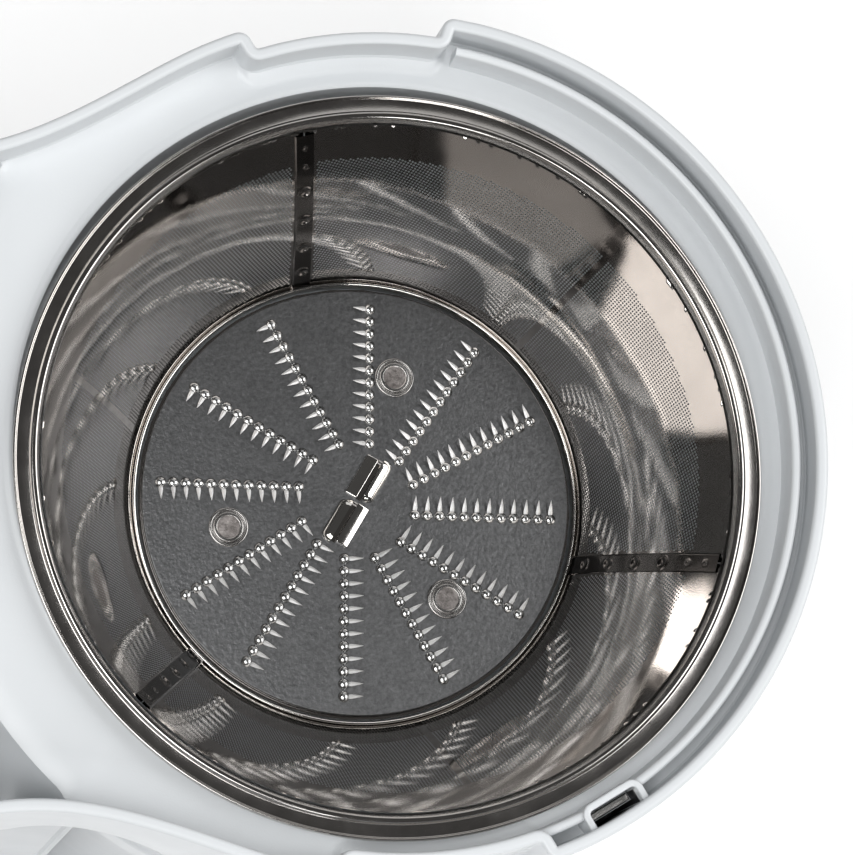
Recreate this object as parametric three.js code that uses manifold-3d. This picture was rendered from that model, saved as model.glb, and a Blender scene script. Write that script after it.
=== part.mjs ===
// Centrifugal juicer, opened for cleaning: motor base, juice collector with its pulp chute,
// spinning sieve basket, pulp container and the two lid clamps. Millimetres, +Z up.
// The bowl's axis stands at x = BOWL_X, y = 0. The pulp side is -X and the juice spout is +X.
import * as THREE from 'three';
import { mergeVertices } from 'three/addons/utils/BufferGeometryUtils.js';
import Module from 'manifold-3d';

const wasm = await Module();
wasm.setup();

// ---- driving dimensions ----
const BOWL_X = 39; // bowl axis from the middle of the object's footprint
const SPIN_Y = -3.2; // the motor and the basket run off the bowl's centre: the channel widens at the back
const RIM_Z = 235; // top of the basket's rolled rim above the table
const SEG = 40; // facets of the large round walls

const WALL_R = 89; // collector: outside of the outer wall
const WALL_T = 2.6;
const WALL_TOP = RIM_Z + 6;
const SKIRT_Z = 196; // bottom edge of the outer wall around the bowl
const CHUTE_R = 66; // half width of the pulp chute and radius of its round end
const CHUTE_CX = -112; // centre of the chute's round end, from the bowl axis
const CHUTE_SKIRT_Z = 208;
const DECK_Z = RIM_Z - 3.5; // the flange around the basket
const DECK_T = 2.4;
const LIP_R = 75.4; // hole that the basket turns in
const BOWL_T = 2.4;
const BOWL_FLOOR_Z = 163.5;
const GAP = 0.3; // between parts that touch
const FOLD_R = 95; // where the flange drops into the pulp chute
const RIB_R0 = 81.8;
const RIB_R1 = 84;
const RIB_TOP = RIM_Z + 3.2;
const NOTCH_HALF = 13.5; // clamp notch, degrees either side of the Y axis
const NOTCH_R = 84.5;
const POCKET_DEG = -65.2; // lid interlock pocket
const POCKET_R = 85.3;
const PLUNGER_R = 69.6;
const ROD_R = 80.6; // the interlock rod runs down outside the bowl's wall

const DISC_Z = RIM_Z - 43.9; // top of the grater disc
const DISC_R = 45.5;
const TOOTH_ROWS = 12;
const TEETH_PER_ROW = 12;
const TOOTH_R0 = 12.4; // innermost tooth
const TOOTH_PITCH = 2.65;
const ROW_PHASE = 23; // degrees, first row from +X
const RIVET_R = 28;
const RIVET_DEG = 66.5;
const CONE_R0 = 48.9; // sieve wall: inner radius at its foot and at the rim
const CONE_R1 = 70.2;
const CONE_T = 0.7;
const SEAM_DEG = 98;

const TOWER_R = 76;
const TOWER_TOP = 158;
const TOWER_T = 2.6;
const CLAMP_Z = 148; // clamp hinge pins
const CLAMP_Y = 89.2;
const CLAMP_W = 36;
const CLAMP_L = 103;
const KNOB_DEG = -48;
const KNOB_Z = 62;
const GLAND_Z = 30; // mains cord inlet

// ---- helpers ----
const rad = (deg) => (deg * Math.PI) / 180;

// A closed geometry as a solid facing outwards.
function solid(geometry) {
  const bare = geometry.index ? geometry.toNonIndexed() : geometry.clone();
  bare.deleteAttribute('normal');
  bare.deleteAttribute('uv');
  const merged = mergeVertices(bare, 1e-4);
  const triVerts = new Uint32Array(merged.index.array);
  const vertProperties = new Float32Array(merged.attributes.position.array);
  const made = new wasm.Manifold(new wasm.Mesh({ numProp: 3, vertProperties, triVerts }));
  if (made.volume() >= 0) return made;
  for (let i = 0; i < triVerts.length; i += 3) {
    [triVerts[i + 1], triVerts[i + 2]] = [triVerts[i + 2], triVerts[i + 1]];
  }
  return new wasm.Manifold(new wasm.Mesh({ numProp: 3, vertProperties, triVerts }));
}

function geometryOf(manifold) {
  const mesh = manifold.getMesh();
  const n = mesh.numProp;
  const position = new Float32Array(mesh.numVert * 3);
  for (let i = 0; i < mesh.numVert; i++) {
    position.set(mesh.vertProperties.subarray(i * n, i * n + 3), i * 3);
  }
  const geometry = new THREE.BufferGeometry();
  geometry.setAttribute('position', new THREE.BufferAttribute(position, 3));
  geometry.setIndex(new THREE.BufferAttribute(new Uint32Array(mesh.triVerts), 1));
  return geometry;
}

const union = (parts) => parts.reduce((a, b) => a.add(b));
const cut = (body, tools) => tools.reduce((a, b) => a.subtract(b), body);

// Solid of revolution about +Z through (cx, cy); the profile is a list of [r, z].
function turned(profile, segments = SEG, cx = 0, cy = 0) {
  const points = profile.map(([r, z]) => new THREE.Vector2(r, z));
  const geometry = new THREE.LatheGeometry(points, segments);
  geometry.rotateX(Math.PI / 2);
  geometry.translate(cx, cy, 0);
  return solid(geometry);
}

// A ring of rectangular section.
function ring(r0, r1, z0, z1, segments = SEG, cx = 0, cy = 0) {
  return turned([[r0, z0], [r1, z0], [r1, z1], [r0, z1], [r0, z0]], segments, cx, cy);
}

function rod(r, z0, z1, segments = 24, cx = 0, cy = 0) {
  return turned([[0, z0], [r, z0], [r, z1], [0, z1]], segments, cx, cy);
}

// A flat outline, a list of [x, y], pushed up from z0 to z1.
function prism(outline, z0, z1) {
  const shape = new THREE.Shape(outline.map(([x, y]) => new THREE.Vector2(x, y)));
  const geometry = new THREE.ExtrudeGeometry(shape, { depth: z1 - z0, bevelEnabled: false });
  geometry.translate(0, 0, z0);
  return solid(geometry);
}

function box(x0, x1, y0, y1, z0, z1) {
  const geometry = new THREE.BoxGeometry(x1 - x0, y1 - y0, z1 - z0);
  geometry.translate((x0 + x1) / 2, (y0 + y1) / 2, (z0 + z1) / 2);
  return solid(geometry);
}

// A pie slice from the Z axis, from a0 to a1 degrees.
function wedge(a0, a1, z0, z1, reach = 140) {
  const steps = Math.max(2, Math.ceil((a1 - a0) / 30));
  const outline = [[0, 0]];
  for (let i = 0; i <= steps; i++) {
    const a = rad(a0 + ((a1 - a0) * i) / steps);
    outline.push([reach * Math.cos(a), reach * Math.sin(a)]);
  }
  return prism(outline, z0, z1);
}

// A box whose middle is at radius r and angle deg, long side along the tangent.
function blockAt(deg, r, depth, width, z0, z1) {
  const geometry = new THREE.BoxGeometry(depth, width, z1 - z0);
  geometry.translate(r, 0, (z0 + z1) / 2);
  geometry.rotateZ(rad(deg));
  return solid(geometry);
}

const group = new THREE.Group();
const bowlFrame = new THREE.Group(); // origin on the bowl's axis, at the table
bowlFrame.position.set(BOWL_X, 0, 0);
const spinFrame = new THREE.Group(); // origin on the motor's axis
spinFrame.position.set(BOWL_X, SPIN_Y, 0);
group.add(bowlFrame, spinFrame);

const MATERIAL = {
  white: { color: 0xdfe4e8, roughness: 0.38, metalness: 0 },
  black: { color: 0x1b1b1d, roughness: 0.5, metalness: 0 },
  smoke: { color: 0xd3d8dc, roughness: 0.35, metalness: 0 },
  steel: { color: 0x9a9791, roughness: 0.16, metalness: 1 },
  brushed: { color: 0x77787a, roughness: 0.42, metalness: 1 },
  iron: { color: 0x55585c, roughness: 0.5, metalness: 1 },
  copper: { color: 0xb4703c, roughness: 0.4, metalness: 1 },
  rubber: { color: 0x2a2a2c, roughness: 0.85, metalness: 0 },
  grey: { color: 0x8d9196, roughness: 0.45, metalness: 0 },
};

function add(parent, name, manifold, look) {
  const mesh = new THREE.Mesh(geometryOf(manifold), new THREE.MeshStandardMaterial(MATERIAL[look]));
  mesh.name = name;
  parent.add(mesh);
  return mesh;
}

// ---- outline of the collector, from the bowl axis, moved inwards by inset ----
function flankPoint(t, inset) {
  const start = rad(113);
  const p0 = [WALL_R * Math.cos(start), WALL_R * Math.sin(start)];
  const p1 = [p0[0] - 16.6 * Math.sin(start), p0[1] + 16.6 * Math.cos(start)];
  const p2 = [-66, CHUTE_R];
  const p3 = [-84, CHUTE_R];
  const curve = new THREE.CubicBezierCurve(...[p0, p1, p2, p3].map((p) => new THREE.Vector2(...p)));
  const p = curve.getPoint(t);
  const d = curve.getTangent(t);
  return [p.x - d.y * inset, p.y + d.x * inset];
}

function collectorOutline(inset) {
  const half = [];
  const arc = 13;
  for (let i = 0; i <= arc; i++) {
    const a = rad((113 * i) / arc);
    half.push([(WALL_R - inset) * Math.cos(a), (WALL_R - inset) * Math.sin(a)]);
  }
  for (let i = 1; i <= 6; i++) {
    const [x, y] = flankPoint(i / 6, inset);
    half.push([x, y]);
  }
  for (let i = 0; i <= 10; i++) {
    const a = rad(90 + (90 * i) / 10);
    const r = CHUTE_R - inset;
    half.push([CHUTE_CX + r * Math.cos(a), r * Math.sin(a)]);
  }
  const mirrored = half.slice(1, -1).reverse().map(([x, y]) => [x, -y]);
  return half.concat(mirrored);
}

// ---- juice collector ----
function clampNotches(z0, z1) {
  const gap = (deg) => wedge(deg - NOTCH_HALF, deg + NOTCH_HALF, z0 - 2, z1 + 2);
  const away = [90, -90].map((deg) => ring(NOTCH_R, WALL_R + 6, z0 - 1, z1 + 1).intersect(gap(deg)));
  const back = [90, -90].map((deg) => {
    const over = NOTCH_HALF + 1.7;
    const shell = ring(NOTCH_R - WALL_T, WALL_R - 0.4, z0, z1);
    const step = shell.intersect(wedge(deg - over, deg + over, z0 - 1, z1 + 1));
    return step.subtract(ring(NOTCH_R, WALL_R + 1, z0 - 1, z1 + 1).intersect(gap(deg)));
  });
  return { away, back };
}

function outerWall() {
  const band = cut(prism(collectorOutline(0), SKIRT_Z, WALL_TOP), [
    prism(collectorOutline(WALL_T), SKIRT_Z - 1, WALL_TOP + 1),
  ]);
  const chuteEnd = box(-200, -70, -80, 80, SKIRT_Z - 1, CHUTE_SKIRT_Z);
  const { away, back } = clampNotches(SKIRT_Z, WALL_TOP);
  return cut(band, [chuteEnd, ...away]).add(union(back));
}

// The side walls of the neck arch upwards between the bowl and the pulp container.
function neckArch() {
  const outline = [];
  for (let i = 0; i <= 12; i++) {
    const a = rad((180 * i) / 12);
    outline.push([-66 + 20 * Math.cos(a), SKIRT_Z - 4 + 26 * Math.sin(a)]);
  }
  const shape = new THREE.Shape(outline.map(([x, z]) => new THREE.Vector2(x, z)));
  const geometry = new THREE.ExtrudeGeometry(shape, { depth: 200, bevelEnabled: false });
  geometry.rotateX(Math.PI / 2);
  geometry.translate(0, 100, 0);
  return solid(geometry).subtract(rod(80, 100, 300, SEG));
}

function deck() {
  const plate = prism(collectorOutline(WALL_T / 2), DECK_Z - DECK_T, DECK_Z);
  const notched = ring(NOTCH_R - 1.3, WALL_R + 2, DECK_Z - 9, DECK_Z + 9);
  const notches = [90, -90].map((deg) =>
    notched.intersect(wedge(deg - NOTCH_HALF, deg + NOTCH_HALF, DECK_Z - 10, DECK_Z + 10)),
  );
  const chute = cut(prism(collectorOutline(WALL_T), DECK_Z - 9, DECK_Z + 9), [
    rod(FOLD_R, DECK_Z - 10, DECK_Z + 10, SEG),
    box(-60, 120, -120, 120, DECK_Z - 10, DECK_Z + 10),
  ]);
  return cut(plate, [rod(LIP_R, DECK_Z - 10, DECK_Z + 10, SEG), chute, ...notches]);
}

// Sloping apron below the fold, which throws the pulp into its container.
function chuteApron() {
  const sheet = turned([
    [FOLD_R - 2.4, DECK_Z],
    [FOLD_R, DECK_Z],
    [FOLD_R + 7, CHUTE_SKIRT_Z],
    [FOLD_R + 4.6, CHUTE_SKIRT_Z],
    [FOLD_R - 2.4, DECK_Z],
  ]);
  const inside = prism(collectorOutline(WALL_T / 2), CHUTE_SKIRT_Z - 5, DECK_Z + 1);
  return sheet.intersect(inside).intersect(box(-140, -60, -90, 90, 0, 400));
}

// Round wall that the juice is thrown against, under the flange.
function juiceBowl() {
  const wall = ring(LIP_R, LIP_R + BOWL_T, BOWL_FLOOR_Z, DECK_Z - DECK_T - GAP);
  return cut(wall, spoutPassage());
}

// Floor of the bowl, with the chimney that keeps juice off the drive.
function bowlFloor() {
  const disc = rod(LIP_R - GAP, BOWL_FLOOR_Z, BOWL_FLOOR_Z + BOWL_T, SEG);
  const plate = disc.subtract(rod(20, 0, 400, 24, 0, SPIN_Y));
  const chimney = ring(20, 22, BOWL_FLOOR_Z, 185, 24, 0, SPIN_Y);
  const foot = ring(66, 68.4, TOWER_TOP + 0.3, BOWL_FLOOR_Z + 1);
  return cut(union([plate, chimney, foot]), spoutPassage());
}

// Upright rib that makes the groove for the lid, on the side away from the chute.
function lidRib() {
  const all = turned([
    [RIB_R0, DECK_Z - 1],
    [RIB_R1, DECK_Z - 1],
    [RIB_R1, RIB_TOP],
    [RIB_R0 + 0.5, RIB_TOP],
    [RIB_R0, DECK_Z - 1],
  ]);
  return all.intersect(wedge(-77, 74.2, DECK_Z - 5, RIB_TOP + 5));
}

// Upright guide that the interlock's rod runs down, from the flange to the base.
function interlockGuide() {
  const frame = blockAt(POCKET_DEG, POCKET_R - 0.5, 6.8, 13.4, DECK_Z - 1, RIB_TOP + 0.6);
  const column = blockAt(POCKET_DEG, ROD_R, 9, 13.4, BOWL_FLOOR_Z, DECK_Z - 1);
  const throat = blockAt(POCKET_DEG, 84.2, 8.6, 13.4, 208, DECK_Z - 0.5);
  const behindBowl = rod(LIP_R + BOWL_T + GAP, 100, 300, SEG);
  return union([frame, column, throat]).subtract(behindBowl);
}

function interlockPassage() {
  return [
    blockAt(POCKET_DEG, POCKET_R, 4.6, 10.4, 211, 400),
    blockAt(POCKET_DEG, ROD_R, 3.2, 9.4, 100, 227),
    blockAt(POCKET_DEG, (POCKET_R + ROD_R) / 2, 6, 9.4, 211, 227),
  ];
}

function juiceSpout() {
  const duct = box(74, 100, -9.4, 9.4, TOWER_TOP + 1.2, 171);
  const nose = box(88.7, 100, -9.4, 9.4, 146, 171);
  return cut(duct.add(nose), [rod(LIP_R + BOWL_T + GAP, 100, 300, SEG), ...spoutPassage()]);
}

function spoutPassage() {
  return [box(70, 97.6, -7, 7, 162, 169), box(91, 97.6, -7, 7, 140, 165)];
}

function juiceCollector() {
  const body = union([outerWall(), deck(), chuteApron(), lidRib(), interlockGuide()]);
  return cut(body, [...interlockPassage(), neckArch()]);
}

// Flat bar with a dog-leg foot, pushed down by the lid.
function interlockRod() {
  const head = blockAt(POCKET_DEG, POCKET_R - 1.2, 1.5, 9, 217, RIM_Z - 3);
  const blade = blockAt(POCKET_DEG, ROD_R, 2.2, 8.4, TOWER_TOP + 1.6, 221);
  const bridge = blockAt(POCKET_DEG, (POCKET_R - 1.2 + ROD_R) / 2, POCKET_R - ROD_R, 8.4, 217, 221);
  return union([head, blade, bridge]);
}

// ---- pulp container ----
function pulpContainer() {
  const outside = cut(prism(collectorOutline(3.4), 11.6, 205), [
    rod(91, 0, 400, SEG),
    box(-62, 200, -150, 150, 0, 400),
  ]);
  const inside = cut(prism(collectorOutline(5.8), 14, 400), [
    rod(93.4, 0, 500, SEG),
    box(-66, 200, -150, 150, 0, 500),
  ]);
  return outside.subtract(inside);
}

// ---- sieve basket, about the motor's axis ----
function basketRimRing() {
  const z = RIM_Z;
  return turned([
    [71.3, z - 3.2],
    [72, z - 3.2],
    [72.3, z - 1.5],
    [75.9, z - 2.4],
    [75.9, z - 0.7],
    [72.3, z],
    [71.3, z - 0.4],
    [71.3, z - 3.2],
  ]);
}

// One third of the sieve's wall.
function meshPanel(index) {
  const z0 = DISC_Z - 2.4;
  const z1 = RIM_Z - 2.2;
  const shell = turned([
    [CONE_R0 - 0.2, z0],
    [CONE_R0 - 0.2 + CONE_T, z0],
    [CONE_R1 + CONE_T, z1],
    [CONE_R1, z1],
    [CONE_R0 - 0.2, z0],
  ]);
  const a = SEAM_DEG + 120 * index;
  return shell.intersect(wedge(a + 0.2, a + 119.8, z0 - 1, z1 + 1));
}

function basketLowerRing() {
  const z = DISC_Z;
  return turned([
    [46.7, z - 3.6],
    [51, z - 3.6],
    [51, z - 2.8],
    [48.1, z - 2.8],
    [48.1, z],
    [46.7, z],
    [46.7, z - 3.6],
  ]);
}

function rivetHoles(z0, z1) {
  return [0, 1, 2].map((i) => {
    const a = rad(RIVET_DEG + 120 * i);
    return rod(2.7, z0, z1, 12, RIVET_R * Math.cos(a), RIVET_R * Math.sin(a));
  });
}

// Floor of the basket, with a drip skirt that overlaps the collector's chimney.
function basketBase() {
  const z = DISC_Z;
  const dish = turned(
    [
      [0, z - 4],
      [22.7, z - 4],
      [22.7, z - 11],
      [24.2, z - 11],
      [24.2, z - 4],
      [46.2, z - 4],
      [46.2, z - 1.7],
      [0, z - 1.7],
    ],
    SEG,
  );
  return cut(dish, [rod(16.4, z - 20, z - 3.2, 24), ...rivetHoles(z - 20, z + 20)]);
}

const COUPLING_LUGS = 3; // bars right across the coupling, so six lugs
function lugBars(reach, width, z0, z1) {
  return Array.from({ length: COUPLING_LUGS }, (_, i) => blockAt(i * 60, 0, 2 * reach, width, z0, z1));
}

function basketHub() {
  const outside = rod(16, 169, DISC_Z - 3.5, 24);
  return cut(outside, [rod(9.7, 160, 181, 24), ...lugBars(13.4, 5, 160, 179)]);
}

// One pressed tooth: a low round back, and a point that leans the way the disc turns.
function tooth(deg, r) {
  const sides = 5;
  const back = -0.9;
  const foot = DISC_Z - 0.3;
  const position = [];
  const corner = (i) => {
    const a = rad((360 * i) / sides);
    return [0.9 * Math.cos(a), back + 1.2 * Math.sin(a)];
  };
  for (let i = 0; i < sides; i++) {
    const [x0, y0] = corner(i);
    const [x1, y1] = corner(i + 1);
    position.push(x0, y0, foot, x1, y1, foot, 0, 1.9, DISC_Z + 1.9);
    position.push(0, back, foot, x1, y1, foot, x0, y0, foot);
  }
  const geometry = new THREE.BufferGeometry();
  geometry.setAttribute('position', new THREE.Float32BufferAttribute(position, 3));
  geometry.translate(r, 0, 0);
  geometry.rotateZ(rad(deg));
  return solid(geometry);
}

// The disc's middle carries two lanced louvres, each the other's half turn.
function louvres() {
  return [0, 180].map((turn) => {
    const geometry = new THREE.CylinderGeometry(1.7, 1.7, 8.6, 10);
    geometry.scale(1, 1, 0.75);
    geometry.translate(1.2, 5.2, DISC_Z);
    geometry.rotateZ(rad(turn - 37));
    return solid(geometry);
  });
}

function graterDisc() {
  const plate = rod(DISC_R, DISC_Z - 1.2, DISC_Z, SEG);
  const teeth = [];
  for (let row = 0; row < TOOTH_ROWS; row++) {
    for (let i = 0; i < TEETH_PER_ROW; i++) {
      teeth.push(tooth(ROW_PHASE + row * (360 / TOOTH_ROWS), TOOTH_R0 + i * TOOTH_PITCH));
    }
  }
  const trim = rod(DISC_R, DISC_Z - 1.2, DISC_Z + 5, SEG);
  const body = union([plate, ...louvres(), ...teeth]).intersect(trim);
  return cut(body, rivetHoles(DISC_Z - 9, DISC_Z + 9));
}

function discRivet(index) {
  const a = rad(RIVET_DEG + 120 * index);
  const z = DISC_Z;
  const profile = [
    [0, z - 5.2],
    [3.4, z - 5.2],
    [3.4, z - 4.3],
    [2.4, z - 4.3],
    [2.4, z + 0.25],
    [4.1, z + 0.25],
    [4.1, z + 0.7],
    [3.4, z + 1],
    [0, z + 1],
  ];
  return turned(profile, 16, RIVET_R * Math.cos(a), RIVET_R * Math.sin(a));
}

// ---- motor base ----
function towerShell() {
  const outside = [
    [85, 7],
    [79, 18],
    [TOWER_R, 40],
    [TOWER_R, 106],
    [82.5, 138],
    [84.6, 147],
    [84.6, TOWER_TOP],
  ];
  const inside = outside.map(([r, z]) => [r - TOWER_T, z === TOWER_TOP ? z - TOWER_T : z]);
  return turned([[0, TOWER_TOP], ...outside.reverse(), ...inside, [0, TOWER_TOP - TOWER_T]]);
}

function shelfOutline(inset) {
  return collectorOutline(inset).filter(([x]) => x < -40);
}

// Two pairs of ears carry the clamp pins.
function clampEars() {
  const ears = [];
  for (const side of [1, -1]) {
    for (const end of [1, -1]) {
      const x = end * (CLAMP_W / 2 + 2.4);
      const y0 = side > 0 ? 78 : -93.2;
      ears.push(box(x - 1.8, x + 1.8, y0, y0 + 15.2, CLAMP_Z - 5, CLAMP_Z + 5));
    }
  }
  return ears;
}

function pinAlongX(r, x0, x1, y, z, segments = 12) {
  const geometry = new THREE.CylinderGeometry(r, r, x1 - x0, segments);
  geometry.rotateZ(Math.PI / 2);
  geometry.translate((x0 + x1) / 2, y, z);
  return solid(geometry);
}

function pinAlongY(r, y0, y1, z, segments = 16) {
  const geometry = new THREE.CylinderGeometry(r, r, y1 - y0, segments);
  geometry.translate(0, (y0 + y1) / 2, z);
  return solid(geometry);
}

// A pin on the knob's axis, which points out of the tower.
function pinAlongKnob(r, from, to, segments = 16) {
  const geometry = new THREE.CylinderGeometry(r, r, to - from, segments);
  geometry.rotateZ(-Math.PI / 2);
  geometry.translate((from + to) / 2, 0, KNOB_Z);
  geometry.rotateZ(rad(KNOB_DEG));
  return solid(geometry);
}

const SCREW_SPOTS = [[52, 44], [52, -44], [-52, 44], [-52, -44]];
const FOOT_SPOTS = [[50, 56], [50, -56], [-148, 36], [-148, -36]];

function screwPosts() {
  const posts = SCREW_SPOTS.map(([x, y]) => rod(4.6, 7, 34, 16, x, y));
  const webs = SCREW_SPOTS.map(([x, y]) => {
    const out = x + Math.sign(x) * 9;
    return box(Math.min(x, out), Math.max(x, out), y - 1, y + 1, 7.2, 33);
  });
  return posts.concat(webs);
}

function motorHousing() {
  const shelf = prism(shelfOutline(4), 7, 11.2).subtract(rod(80, 0, 100, SEG));
  const hanger = ring(30, 33, 137, TOWER_TOP - 1, 24, 0, SPIN_Y);
  const collar = ring(9, 12, TOWER_TOP - 1, TOWER_TOP + 3.4, 24, 0, SPIN_Y);
  const body = union([towerShell(), shelf, ...screwPosts(), hanger, collar, ...clampEars()]);
  return cut(body, [
    rod(9, 150, 170, 24, 0, SPIN_Y),
    ...SCREW_SPOTS.map(([x, y]) => rod(2, 0, 28, 12, x, y)),
    ...[1, -1].map((side) => pinAlongX(2.3, -30, 30, side * CLAMP_Y, CLAMP_Z)),
    pinAlongKnob(4.2, 66, 90),
    pinAlongY(5.4, 60, 90, GLAND_Z),
    blockAt(POCKET_DEG, 80.2, 4.6, 9.8, TOWER_TOP - 9, TOWER_TOP + 2),
  ]);
}

// Cover under the base, with the motor's cradle and cooling slots.
function basePlate() {
  const disc = rod(84.4, 4, 6.7, SEG);
  const shelf = prism(shelfOutline(4.6), 4, 6.7);
  const cradle = ring(34, 37, 6, 42.5, 24, 0, SPIN_Y);
  const slots = Array.from({ length: 10 }, (_, i) => blockAt(18 + i * 36, 53, 16, 4, 0, 10));
  return cut(union([disc, shelf, cradle]), [
    ...slots,
    ...SCREW_SPOTS.map(([x, y]) => rod(2, 0, 10, 12, x, y)),
    ...FOOT_SPOTS.map(([x, y]) => rod(2.8, 0, 10, 12, x, y)),
  ]);
}

function foot([x, y]) {
  return turned([[0, 0], [6.6, 0], [7.4, 3.7], [2.5, 3.7], [2.5, 6.2], [0, 6.2]], 12, x, y);
}

function baseScrew([x, y]) {
  return turned([[0, 1.6], [3.4, 1.6], [3.4, 3.7], [1.6, 3.7], [1.6, 24], [0, 24]], 12, x, y);
}

function clampPin(side) {
  return pinAlongX(2, -22.6, 22.6, side * CLAMP_Y, CLAMP_Z);
}

// A lid clamp standing up from its pin at the origin: hinge barrel, leg, hook and finger ledge.
function clamp() {
  const outline = [
    [-2.8, 0],
    [-2.8, CLAMP_L - 5],
    [-4.3, CLAMP_L - 4],
    [-4.3, CLAMP_L - 0.8],
    [-3.5, CLAMP_L],
    [0, CLAMP_L],
    [0.9, CLAMP_L - 6],
    [5, CLAMP_L - 7.5],
    [5.2, CLAMP_L - 9],
    [0.9, CLAMP_L - 11],
    [0.9, 0],
  ];
  const shape = new THREE.Shape(outline.map(([y, z]) => new THREE.Vector2(y, z)));
  const geometry = new THREE.ExtrudeGeometry(shape, { depth: CLAMP_W, bevelEnabled: false });
  geometry.rotateX(Math.PI / 2);
  geometry.rotateZ(Math.PI / 2);
  geometry.translate(-CLAMP_W / 2, 0, 0);
  const leg = solid(geometry);
  const barrel = pinAlongX(4.2, -CLAMP_W / 2, CLAMP_W / 2, 0, 0, 16);
  const bore = pinAlongX(2.3, -30, 30, 0, 0);
  return leg.add(barrel).subtract(bore);
}

function controlKnob() {
  const face = pinAlongKnob(15, 77, 83, 24);
  const bar = new THREE.BoxGeometry(8, 27, 7);
  bar.translate(86, 0, KNOB_Z);
  bar.rotateZ(rad(KNOB_DEG));
  const stem = pinAlongKnob(3.6, 64.4, 78);
  return union([face, solid(bar), stem]);
}

function speedSwitch() {
  return blockAt(KNOB_DEG, 57, 14, 22, KNOB_Z - 12, KNOB_Z + 12);
}

function cordGland() {
  const sleeve = pinAlongY(5.1, 71, 91, GLAND_Z);
  const flange = pinAlongY(8.4, 79.3, 81.8, GLAND_Z, 20);
  return sleeve.add(flange).subtract(pinAlongY(3.4, 60, 100, GLAND_Z, 12));
}

function microswitch() {
  const body = blockAt(POCKET_DEG, 69.2, 8, 18, 117, 131);
  const a = rad(POCKET_DEG);
  const well = rod(1.8, 126, 140, 12, PLUNGER_R * Math.cos(a), PLUNGER_R * Math.sin(a));
  return body.subtract(well);
}

function interlockPlunger() {
  const a = rad(POCKET_DEG);
  const stem = rod(1.5, 131.5, 146, 12, PLUNGER_R * Math.cos(a), PLUNGER_R * Math.sin(a));
  const shoulder = blockAt(POCKET_DEG, 73.9, 11.2, 8, 144, 147.2);
  const blade = blockAt(POCKET_DEG, 79.4, 2, 8, 146.6, TOWER_TOP + 1.3);
  return union([stem, shoulder, blade]);
}

function plungerSpring() {
  const a = rad(POCKET_DEG);
  return ring(1.9, 2.8, 131.3, 143.7, 12, PLUNGER_R * Math.cos(a), PLUNGER_R * Math.sin(a));
}

// ---- motor, about its own axis ----
const BOLT_R = 43;
function boltHoles(r) {
  return [45, 225].map((deg) => rod(r, 0, 300, 12, BOLT_R * Math.cos(rad(deg)), BOLT_R * Math.sin(rad(deg))));
}

function motorStator() {
  const slots = [0, 90].map((deg) => blockAt(deg, 0, 74, 13, 60, 120));
  const core = ring(24.3, 46, 68, 110, 32);
  return cut(core, [...slots, ...boltHoles(2.3)]);
}

function fieldWinding() {
  const ends = [ring(28, 38, 62, 67.7, 24), ring(28, 38, 110.3, 115.6, 24)];
  const sides = [0, 90, 180, 270].map((deg) => blockAt(deg, 31.5, 9, 12.2, 66, 112));
  return union([...ends, ...sides]);
}

function bracket(plateZ, hubZ0, hubZ1) {
  const plate = ring(11.6, 47, plateZ, plateZ + 3.4, 20);
  const hub = ring(11.6, 14, hubZ0, hubZ1, 20);
  const windows = [0, 90, 180, 270].map((deg) => blockAt(deg, 26, 12, 12, plateZ - 5, plateZ + 9));
  return cut(plate.add(hub), [...windows, ...boltHoles(2.3)]);
}

function motorBolt(deg) {
  const x = BOLT_R * Math.cos(rad(deg));
  const y = BOLT_R * Math.sin(rad(deg));
  return turned([[0, 46.4], [3.6, 46.4], [3.6, 49.7], [2, 49.7], [2, 132], [0, 132]], 12, x, y);
}

function motorShaft() {
  return turned([[0, 40], [3.6, 40], [4, 41], [4, 171], [3.4, 172], [0, 172]], 16);
}

function coolingFan() {
  const disc = ring(4.3, 33, 121, 122.6, 24);
  const hub = ring(4.3, 8, 116.5, 121.5, 16);
  const blades = Array.from({ length: 7 }, (_, i) => {
    const geometry = new THREE.BoxGeometry(22, 1.4, 5);
    geometry.rotateZ(rad(20));
    geometry.translate(20, 0, 118.9);
    geometry.rotateZ(rad((i * 360) / 7));
    return solid(geometry);
  });
  return union([disc, hub, ...blades]);
}

function driveCoupling() {
  const core = rod(9.3, 164, 178, 24);
  const bars = lugBars(13, 4.2, 170, 178);
  return cut(union([core, ...bars]), [rod(4.3, 160, 172.6, 16)]);
}

function brushHolder(deg) {
  return blockAt(deg, 18.9, 14.6, 8, 57, 66);
}

// ---- assembly ----
add(bowlFrame, 'motor_housing', motorHousing(), 'white');
add(bowlFrame, 'base_plate', basePlate(), 'grey');
FOOT_SPOTS.forEach((spot, i) => add(bowlFrame, `rubber_foot_${i + 1}`, foot(spot), 'rubber'));
SCREW_SPOTS.forEach((spot, i) => add(bowlFrame, `base_screw_${i + 1}`, baseScrew(spot), 'steel'));
add(bowlFrame, 'control_knob', controlKnob(), 'grey');
add(bowlFrame, 'speed_switch', speedSwitch(), 'black');
add(bowlFrame, 'cord_gland', cordGland(), 'rubber');
add(bowlFrame, 'microswitch', microswitch(), 'black');
add(bowlFrame, 'interlock_plunger', interlockPlunger(), 'grey');
add(bowlFrame, 'plunger_spring', plungerSpring(), 'steel');
add(bowlFrame, 'juice_collector', juiceCollector(), 'white');
add(bowlFrame, 'juice_bowl', juiceBowl(), 'white');
add(bowlFrame, 'bowl_floor', bowlFloor(), 'white');
add(bowlFrame, 'juice_spout', juiceSpout(), 'white');
add(bowlFrame, 'interlock_rod', interlockRod(), 'brushed');
add(bowlFrame, 'pulp_container', pulpContainer(), 'smoke');

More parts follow.
